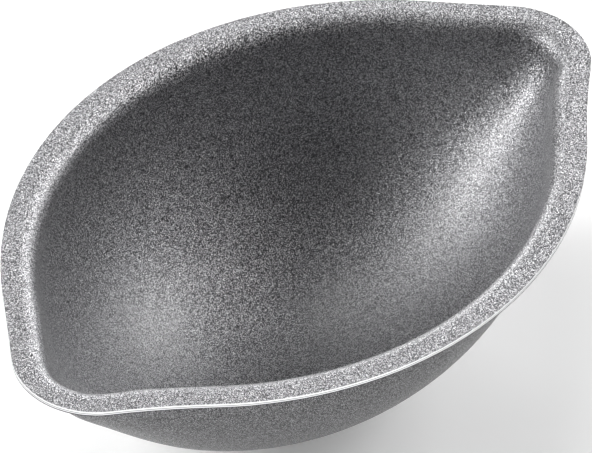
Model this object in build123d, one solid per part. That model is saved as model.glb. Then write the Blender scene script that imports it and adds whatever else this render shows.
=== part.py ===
"""Lemon cake mold: one sheet-steel pressing with a flake non-stick coat on each face.

X runs from tip to tip, Y across, Z up. The origin is under the middle of the mold, on the surface that it stands on.
"""
from build123d import *
from math import cos, hypot, pi, sin, sqrt
import os

# Driving dimensions, mm
LENGTH = 105.0          # over the flange, tip to tip
WIDTH = 70.3            # over the flange, across the body
SHEET = 0.7             # steel
COAT = 0.05             # each non-stick coat
DEPTH = 31.5            # steel's upper face, flange to the bottom of the bowl

TIP_RADIUS = 11.5       # round end of the flange
TIP_SHIFT = -2.0        # the tips sit off the body's middle line
BODY_RADIUS = 53.6      # long arcs of the flange
HOLLOW_FAR = 600.0      # shallow hollows between tip and body, on the +Y side
HOLLOW_NEAR = 108.0     # and on the -Y side

MOUTH_INSET = 4.8       # edge of the flange to the steel's upper wall
FOLD_RADIUS = 2.5       # steel's upper face, from flange to wall
KEEL_POWER = 0.8        # depth falls towards the tips as this power of the width

LEVELS = 12             # horizontal sections of the bowl, above its lowest point
AROUND = 56             # points on each section
CORE_HEIGHT = 40.0      # block that the layers are cut from

TOP = DEPTH + SHEET + COAT      # steel's upper face, with the lowest skin standing on Z = 0
EQUATOR = TOP + COAT            # plane where every skin of the bowl is widest and upright


class Side:
    """One long side of the lemon outline: tip circle, hollow and body arc, each tangent to the next."""

    def __init__(self, inset, hollow, shift):
        self.tip_r = TIP_RADIUS - inset
        self.body_r = BODY_RADIUS - inset
        self.hollow_r = hollow + inset
        self.tip = (LENGTH / 2 - TIP_RADIUS, shift)
        self.body = (0.0, WIDTH / 2 - BODY_RADIUS)
        # The hollow's centre is one radius off both circles.
        dx, dy = self.tip[0] - self.body[0], self.tip[1] - self.body[1]
        gap = hypot(dx, dy)
        to_body, to_tip = self.body_r + self.hollow_r, self.tip_r + self.hollow_r
        along = (to_body**2 - to_tip**2 + gap**2) / (2 * gap)
        off = sqrt(to_body**2 - along**2)
        self.hollow = (self.body[0] + (along * dx - off * dy) / gap, self.body[1] + (along * dy + off * dx) / gap)
        self.tip_end = self.toward_hollow(self.tip, self.tip_r)
        self.body_end = self.toward_hollow(self.body, self.body_r)

    def toward_hollow(self, centre, radius):
        dx, dy = self.hollow[0] - centre[0], self.hollow[1] - centre[1]
        reach = hypot(dx, dy)
        return centre[0] + radius * dx / reach, centre[1] + radius * dy / reach

    def reach(self):
        return self.tip[0] + self.tip_r

    def height(self, x):
        """Distance from the X axis to this side."""
        x = min(abs(x), self.reach())
        if x <= self.body_end[0]:
            return self.body[1] + sqrt(self.body_r**2 - x**2)
        if x <= self.tip_end[0]:
            return self.hollow[1] - sqrt(self.hollow_r**2 - (x - self.hollow[0]) ** 2)
        return self.tip[1] + sqrt(max(self.tip_r**2 - (x - self.tip[0]) ** 2, 0.0))


def sides(inset):
    """The far side, and the near side as if it were mirrored to +Y."""
    return Side(inset, HOLLOW_FAR, TIP_SHIFT), Side(inset, HOLLOW_NEAR, -TIP_SHIFT)


def outline():
    """The flange's cut edge, all tangent arcs."""
    edges = []
    for side, up in zip(sides(0.0), (1, -1)):
        crown = (0.0, up * WIDTH / 2)
        for end in (1, -1):
            body_end = (end * side.body_end[0], up * side.body_end[1])
            tip_end = (end * side.tip_end[0], up * side.tip_end[1])
            nose = (end * LENGTH / 2, up * side.tip[1])
            edges.append(arc(crown, body_end, (0.0, up * side.body[1]), side.body_r))
            edges.append(arc(body_end, tip_end, (end * side.hollow[0], up * side.hollow[1]), side.hollow_r))
            edges.append(arc(tip_end, nose, (end * side.tip[0], up * side.tip[1]), side.tip_r))
    return make_face(Wire(edges))


def arc(start, end, centre, radius):
    """The short arc between two points of a circle."""
    mx, my = (start[0] + end[0]) / 2 - centre[0], (start[1] + end[1]) / 2 - centre[1]
    k = radius / hypot(mx, my)
    return ThreePointArc(start, (centre[0] + k * mx, centre[1] + k * my), end)


def bowl(level):
    """The hollow over the skin that lies this far above the steel's upper face."""
    far, near = sides(MOUTH_INSET + level)
    lowest = EQUATOR - TOP + DEPTH - level

    def half_width(x):
        return (far.height(x) + near.height(x)) / 2

    def middle(x):
        return (far.height(x) - near.height(x)) / 2

    def depth(x):
        return lowest * (half_width(x) / half_width(0.0)) ** KEEL_POWER

    def end_at(drop):
        """How far along X the keel is still this deep."""
        low, high = 0.0, far.reach()
        for _ in range(50):
            x = (low + high) / 2
            low, high = (x, high) if depth(x) > drop else (low, x)
        return low

    def section(drop):
        end = end_at(drop)
        points = []
        for k in range(AROUND):
            turn = 2 * pi * k / AROUND
            x = end * cos(turn)
            open_part = sqrt(max(1 - (drop / max(depth(x), drop, 1e-9)) ** 2, 0.0))
            across = half_width(x) * open_part * (1 if sin(turn) >= 0 else -1)
            points.append((x, middle(x) + across, EQUATOR - drop))
        # The same share of the turn on every section, so that the points line up down the bowl.
        shares = [k / AROUND for k in range(AROUND + 1)]
        return make_face(Wire(Edge.make_spline(points, periodic=True, parameters=shares)))

    drops = [lowest * sin(pi / 2 * k / LEVELS) for k in range(LEVELS)]
    return loft([section(drop) for drop in drops] + [Vertex(0, middle(0.0), EQUATOR - lowest)])


def core(level):
    """What would fill the mold's underside up to this level: a block with the bowl sunk in it and its lip rounded."""
    block = Pos(0, 0, TOP + level - CORE_HEIGHT) * extrude(outline(), CORE_HEIGHT)
    sunk = block - bowl(level)
    lip = sunk.faces().filter_by(Axis.Z).sort_by(Axis.Z)[-1].inner_wires()[0].edges()
    return fillet(lip, FOLD_RADIUS + level)


def layer(upper, lower):
    """The sheet between two levels."""
    return core(upper) - core(lower)


nodes = {
    "steel_shell": layer(0.0, -SHEET),
    "interior_coating": layer(COAT, 0.0),
    "exterior_coating": layer(-SHEET, -SHEET - COAT),
}
os.makedirs("parts", exist_ok=True)
for name, part in nodes.items():
    export_step(part, f"parts/{name}.step")
    print(name, len(part.solids()), round(part.volume, 1), part.bounding_box())
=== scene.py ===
import bpy
from math import pi, radians
from mathutils import Matrix, Vector


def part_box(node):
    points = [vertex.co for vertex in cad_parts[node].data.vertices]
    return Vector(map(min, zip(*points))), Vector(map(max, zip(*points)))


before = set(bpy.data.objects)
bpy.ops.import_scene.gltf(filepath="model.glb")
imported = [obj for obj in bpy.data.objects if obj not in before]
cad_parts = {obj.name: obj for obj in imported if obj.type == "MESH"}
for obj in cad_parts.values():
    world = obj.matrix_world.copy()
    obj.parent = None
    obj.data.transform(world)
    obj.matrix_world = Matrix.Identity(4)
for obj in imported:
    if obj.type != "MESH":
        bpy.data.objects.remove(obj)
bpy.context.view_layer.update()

# Steel shell
# One blank of cold-rolled low-carbon steel sheet, drawn into the bowl in one hit and then trimmed round the
# flange in a press. The coats cover both its faces, so only the trimmed edge shows bare steel.
SHEET = 0.0007                  # thickness, metres
RIM_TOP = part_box("steel_shell")[1][2]
# Colours of the bare edge: near-white for painted highlights along it, dark grey for painted shade
STEEL_PAINTED_HIGHLIGHT = "#FAFAFB"
STEEL_PAINTED_SHADE = "#4C4D50"
ARRIS_PAINTED_SHADE = "#404144"
EDGE_HIGHLIGHT_AND_SHADE_BANDS = (                  # share of the sheet, from its top
    (0.0, STEEL_PAINTED_HIGHLIGHT),
    (0.42, STEEL_PAINTED_HIGHLIGHT),
    (0.47, STEEL_PAINTED_SHADE),
    (0.55, STEEL_PAINTED_SHADE),
    (0.6, STEEL_PAINTED_HIGHLIGHT),
    (0.8, STEEL_PAINTED_HIGHLIGHT),
    (0.86, ARRIS_PAINTED_SHADE),
    (1.0, ARRIS_PAINTED_SHADE),
)
BAND_WANDER = 0.08              # share of the sheet by which the bands stray up and down
WANDER_LENGTH = 0.004
SHEARED_ROUGHNESS = 0.26
BROKEN_ROUGHNESS = 0.5
SCORE_SPACING = 0.00035         # twice that of real scores, which are too fine to show
SCORE_STRETCH = (1, 1, 0.15)    # the scores stand upright
SCORE_DEPTH = 0.00004
SCORE_STRENGTH = 0.4


def linear(hex_colour):
    """An sRGB hex colour as linear RGBA."""
    channels = [int(hex_colour[k:k + 2], 16) / 255 for k in (1, 3, 5)]
    return [c / 12.92 if c <= 0.04045 else ((c + 0.055) / 1.055) ** 2.4 for c in channels] + [1.0]


def new_material(name):
    material = bpy.data.materials.new(name)
    material.use_nodes = True
    material.node_tree.nodes.clear()
    return material


def add(owner, kind, settings=None, **inputs):
    """One node of a material or world. An input is named, or numbered as i0, and is a socket or a value."""
    node = owner.node_tree.nodes.new(kind)
    for key, value in (settings or {}).items():
        setattr(node, key, value)
    for key, value in inputs.items():
        numbered = key[0] == "i" and key[1:].isdigit()
        socket = node.inputs[int(key[1:]) if numbered else key.replace("_", " ")]
        if isinstance(value, bpy.types.NodeSocket):
            owner.node_tree.links.new(value, socket)
        else:
            socket.default_value = value
    return node


# Bare steel as a punch leaves it, in bands across the edge that follow its sheared zone, the start of the
# break, a second zone and the lower arris. Their colours are painted: the two near-white bands are painted
# highlights along the edge, and the dark line between them and the dark lower arris are painted shade. Fine
# upright scores soften the shine.
steel = new_material("cold-rolled steel, sheared")
place = add(steel, "ShaderNodeTexCoord").outputs["Object"]
height = add(steel, "ShaderNodeSeparateXYZ", i0=place).outputs["Z"]
below = add(steel, "ShaderNodeMath", {"operation": "SUBTRACT"}, i0=RIM_TOP, i1=height).outputs[0]
share = add(steel, "ShaderNodeMath", {"operation": "DIVIDE"}, i0=below, i1=SHEET).outputs[0]
stray = add(steel, "ShaderNodeTexNoise", Vector=place, Scale=1 / WANDER_LENGTH, Detail=2.0).outputs["Fac"]
stray = add(steel, "ShaderNodeMapRange", Value=stray, i3=-BAND_WANDER, i4=BAND_WANDER).outputs[0]
share = add(steel, "ShaderNodeMath", {"operation": "ADD"}, i0=share, i1=stray).outputs[0]
# Painted highlight and painted shade in bands across the edge
highlight_and_shade_bands = add(steel, "ShaderNodeValToRGB", Fac=share)
highlight_and_shade_bands.color_ramp.elements[0].color = linear(EDGE_HIGHLIGHT_AND_SHADE_BANDS[0][1])
highlight_and_shade_bands.color_ramp.elements[1].color = linear(EDGE_HIGHLIGHT_AND_SHADE_BANDS[-1][1])
for stop, colour in EDGE_HIGHLIGHT_AND_SHADE_BANDS[1:-1]:
    highlight_and_shade_bands.color_ramp.elements.new(stop).color = linear(colour)
drawn = add(steel, "ShaderNodeVectorMath", {"operation": "MULTIPLY"}, i0=place, i1=SCORE_STRETCH).outputs[0]
scores = add(steel, "ShaderNodeTexNoise", Vector=drawn, Scale=1 / SCORE_SPACING, Detail=3.0).outputs["Fac"]
rough = add(steel, "ShaderNodeMapRange", Value=share, i3=SHEARED_ROUGHNESS, i4=BROKEN_ROUGHNESS).outputs[0]
relief = add(steel, "ShaderNodeBump", Height=scores, Strength=SCORE_STRENGTH, Distance=SCORE_DEPTH)
shader = add(steel, "ShaderNodeBsdfPrincipled", Base_Color=highlight_and_shade_bands.outputs[0], Roughness=rough, Metallic=1.0,
             Normal=relief.outputs[0])
add(steel, "ShaderNodeOutputMaterial", Surface=shader.outputs[0])
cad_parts["steel_shell"].material_slots[0].material = steel

# Interior coating
# A non-stick coat filled with metal flakes, sprayed on the blank's upper face and baked before the press.
# It covers the flange, the fold and the whole inside of the bowl in one even layer.
FLAKE = 0.00009                 # drawn near twice the real 0.05 mm, which is too fine to show
FLAKE_TILT = 0.55
FLAKE_METALLIC = 0.8            # the rest is grey filler
FLAKE_ROUGHNESS = (0.42, 0.62)
COAT_DARK = "#2B2B2C"
COAT_MID = "#6A6A6D"
COAT_BRIGHT = "#E4E4E6"
SPRAY_CLOUD = 0.02              # size of the faint unevenness that the spray gun leaves
SPRAY_SHADE = (0.94, 1.06)
PEEL = 0.0004                   # orange peel of the baked coat
PEEL_DEPTH = 0.00003
PEEL_STRENGTH = 0.35
BINDER_WEIGHT = 0.4             # clear binder over the flakes
BINDER_ROUGHNESS = 0.3


def flake_coat(name, dark, mid, bright, offset):
    """A baked coat with metal flakes in it; the offset gives each coat its own flakes."""
    coat = new_material(name)
    place = add(coat, "ShaderNodeTexCoord").outputs["Object"]
    place = add(coat, "ShaderNodeVectorMath", {"operation": "ADD"}, i0=place, i1=[offset] * 3).outputs[0]
    flakes = add(coat, "ShaderNodeTexVoronoi", Vector=place, Scale=1 / FLAKE).outputs["Color"]
    pick = add(coat, "ShaderNodeSeparateColor", Color=flakes).outputs

    tone = add(coat, "ShaderNodeValToRGB", Fac=pick[0])
    tone.color_ramp.elements[0].color = linear(dark)
    tone.color_ramp.elements[1].color = linear(bright)
    tone.color_ramp.elements.new(0.5).color = linear(mid)
    cloud = add(coat, "ShaderNodeTexNoise", Vector=place, Scale=1 / SPRAY_CLOUD, Detail=3.0).outputs["Fac"]
    shade = add(coat, "ShaderNodeMapRange", Value=cloud, i3=SPRAY_SHADE[0], i4=SPRAY_SHADE[1]).outputs[0]
    colour = add(coat, "ShaderNodeVectorMath", {"operation": "SCALE"}, i0=tone.outputs[0], Scale=shade)

    tilt = add(coat, "ShaderNodeVectorMath", {"operation": "SUBTRACT"}, i0=flakes, i1=[0.5] * 3).outputs[0]
    tilt = add(coat, "ShaderNodeVectorMath", {"operation": "SCALE"}, i0=tilt, Scale=FLAKE_TILT).outputs[0]
    upright = add(coat, "ShaderNodeNewGeometry").outputs["Normal"]
    leaning = add(coat, "ShaderNodeVectorMath", {"operation": "ADD"}, i0=upright, i1=tilt).outputs[0]
    leaning = add(coat, "ShaderNodeVectorMath", {"operation": "NORMALIZE"}, i0=leaning).outputs[0]
    peel = add(coat, "ShaderNodeTexNoise", Vector=place, Scale=1 / PEEL, Detail=4.0).outputs["Fac"]
    under = add(coat, "ShaderNodeBump", Height=peel, Strength=PEEL_STRENGTH, Distance=PEEL_DEPTH,
                Normal=leaning)
    over = add(coat, "ShaderNodeBump", Height=peel, Strength=PEEL_STRENGTH, Distance=PEEL_DEPTH)
    rough = add(coat, "ShaderNodeMapRange", Value=pick[1], i3=FLAKE_ROUGHNESS[0],
                i4=FLAKE_ROUGHNESS[1]).outputs[0]

    shader = add(coat, "ShaderNodeBsdfPrincipled", Base_Color=colour.outputs[0], Roughness=rough,
                 Metallic=FLAKE_METALLIC, Normal=under.outputs[0], Coat_Weight=BINDER_WEIGHT,
                 Coat_Roughness=BINDER_ROUGHNESS, Coat_Normal=over.outputs[0])
    add(coat, "ShaderNodeOutputMaterial", Surface=shader.outputs[0])
    return coat


# Each flake lies at its own small tilt, so the grey coat sparkles in light and dark grains and its highlights
# are broad and soft. The clear binder on top adds a faint tighter shine.
inside_coat = flake_coat("non-stick flake coat, sprayed and baked", COAT_DARK, COAT_MID, COAT_BRIGHT, 0.0)
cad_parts["interior_coating"].material_slots[0].material = inside_coat

# Exterior coating
# The same kind of coat on the blank's lower face, under the flange and over the outside of the bowl.
# It is the back coat, sprayed and baked with the other, drawn in darker greys than the inside.
OUTSIDE_DARK = "#1C1C1D"
OUTSIDE_MID = "#4C4C4E"
OUTSIDE_BRIGHT = "#BEBEC0"
OUTSIDE_OFFSET = 0.3

# The outside's dark, mid and bright flake greys are each drawn darker than the inside's.
outside_coat = flake_coat("non-stick flake back coat", OUTSIDE_DARK, OUTSIDE_MID, OUTSIDE_BRIGHT,
                          OUTSIDE_OFFSET)
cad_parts["exterior_coating"].material_slots[0].material = outside_coat

# Floor
# A wide sheet of white paper that the mold stands on, with its soft shadow on it.
FLOOR_SIZE = 6.0
FLOOR_DROP = 0.0002             # just under the bowl's lowest point
PAPER_WHITE = "#F4F4F4"
PAPER_LIFT = 0.22               # light that the paper adds where it is seen, so that it comes out white

bpy.ops.mesh.primitive_plane_add(size=FLOOR_SIZE, location=(0, 0, -FLOOR_DROP))
floor = bpy.context.object
floor.name = "floor"

# Matte paper, plain white. The mold's coats and bare edge mirror the same white as the camera sees.
sheet = new_material("white paper sheet")
paper = add(sheet, "ShaderNodeBsdfDiffuse", Color=linear(PAPER_WHITE))
ray = add(sheet, "ShaderNodeLightPath").outputs
seen = add(sheet, "ShaderNodeMath", {"operation": "MAXIMUM"}, i0=ray["Is Camera Ray"],
           i1=ray["Is Glossy Ray"]).outputs[0]
seen = add(sheet, "ShaderNodeMath", {"operation": "MAXIMUM"}, i0=seen,
           i1=ray["Is Transmission Ray"]).outputs[0]
lift = add(sheet, "ShaderNodeMath", {"operation": "MULTIPLY"}, i0=seen, i1=PAPER_LIFT).outputs[0]
glow = add(sheet, "ShaderNodeEmission", Color=(1, 1, 1, 1), Strength=lift)
both = add(sheet, "ShaderNodeAddShader", i0=paper.outputs[0], i1=glow.outputs[0])
add(sheet, "ShaderNodeOutputMaterial", Surface=both.outputs[0])
floor.data.materials.append(sheet)

# Light
# Eight round soft boxes at one distance: a bank behind to the left that lights the left of the bowl, a low
# pair behind to the right for the bright band there, two on the right and one overhead. Room light is weak.
LAMP_DISTANCE = 1.5
LAMP_SIZE = 0.7
LAMPS = (                       # place, azimuth and elevation in degrees, watts
    ("behind left", 135, 30, 13.6),
    ("left", 157, 30, 4.6),
    ("behind left, high", 120, 48, 6.6),
    ("overhead", 60, 68, 4.0),
    ("behind right, low", 60, 14, 9.4),
    ("right, low", 20, 14, 9.4),
    ("right", 0, 30, 4.0),
    ("front right", 337, 30, 10.0),
)
ROOM_LIGHT = 0.02

for name, azimuth, elevation, power in LAMPS:
    lamp = bpy.data.lights.new(name, "AREA")
    lamp.shape = "DISK"
    lamp.size = LAMP_SIZE
    lamp.energy = power
    holder = bpy.data.objects.new(name, lamp)
    turn = Matrix.Rotation(radians(azimuth + 90), 4, "Z") @ Matrix.Rotation(radians(90 - elevation), 4, "X")
    holder.matrix_world = turn @ Matrix.Translation((0, 0, LAMP_DISTANCE))
    bpy.context.scene.collection.objects.link(holder)

world = bpy.data.worlds.new("studio")
world.use_nodes = True
world.node_tree.nodes.clear()
air = add(world, "ShaderNodeBackground", Color=(1, 1, 1, 1), Strength=ROOM_LIGHT)
add(world, "ShaderNodeOutputWorld", Surface=air.outputs[0])
bpy.context.scene.world = world

# Camera
# A long lens, so the view is nearly parallel, from the near left and well above the rim.
AIM = Vector((-0.00207, -0.00193, 0.02928))
DISTANCE = 1.0966
AZIMUTH = radians(-47.17)
ELEVATION = radians(43.13)
ROLL = radians(1.09)
LENS = 486.5                    # mm, for the sensor's width
SENSOR_WIDTH = 36.0
FARTHEST = 20.0

camera = bpy.data.objects.new("camera", bpy.data.cameras.new("camera"))
camera.data.lens = LENS
camera.data.sensor_width = SENSOR_WIDTH
camera.data.clip_end = FARTHEST
swing = Matrix.Rotation(AZIMUTH, 4, "Z") @ Matrix.Rotation(pi / 2 - ELEVATION, 4, "X")
turn = swing @ Matrix.Rotation(ROLL, 4, "Z")
camera.matrix_world = Matrix.Translation(AIM) @ turn @ Matrix.Translation((0, 0, DISTANCE))
bpy.context.scene.collection.objects.link(camera)
bpy.context.scene.camera = camera
bpy.context.scene.view_settings.view_transform = "Standard"
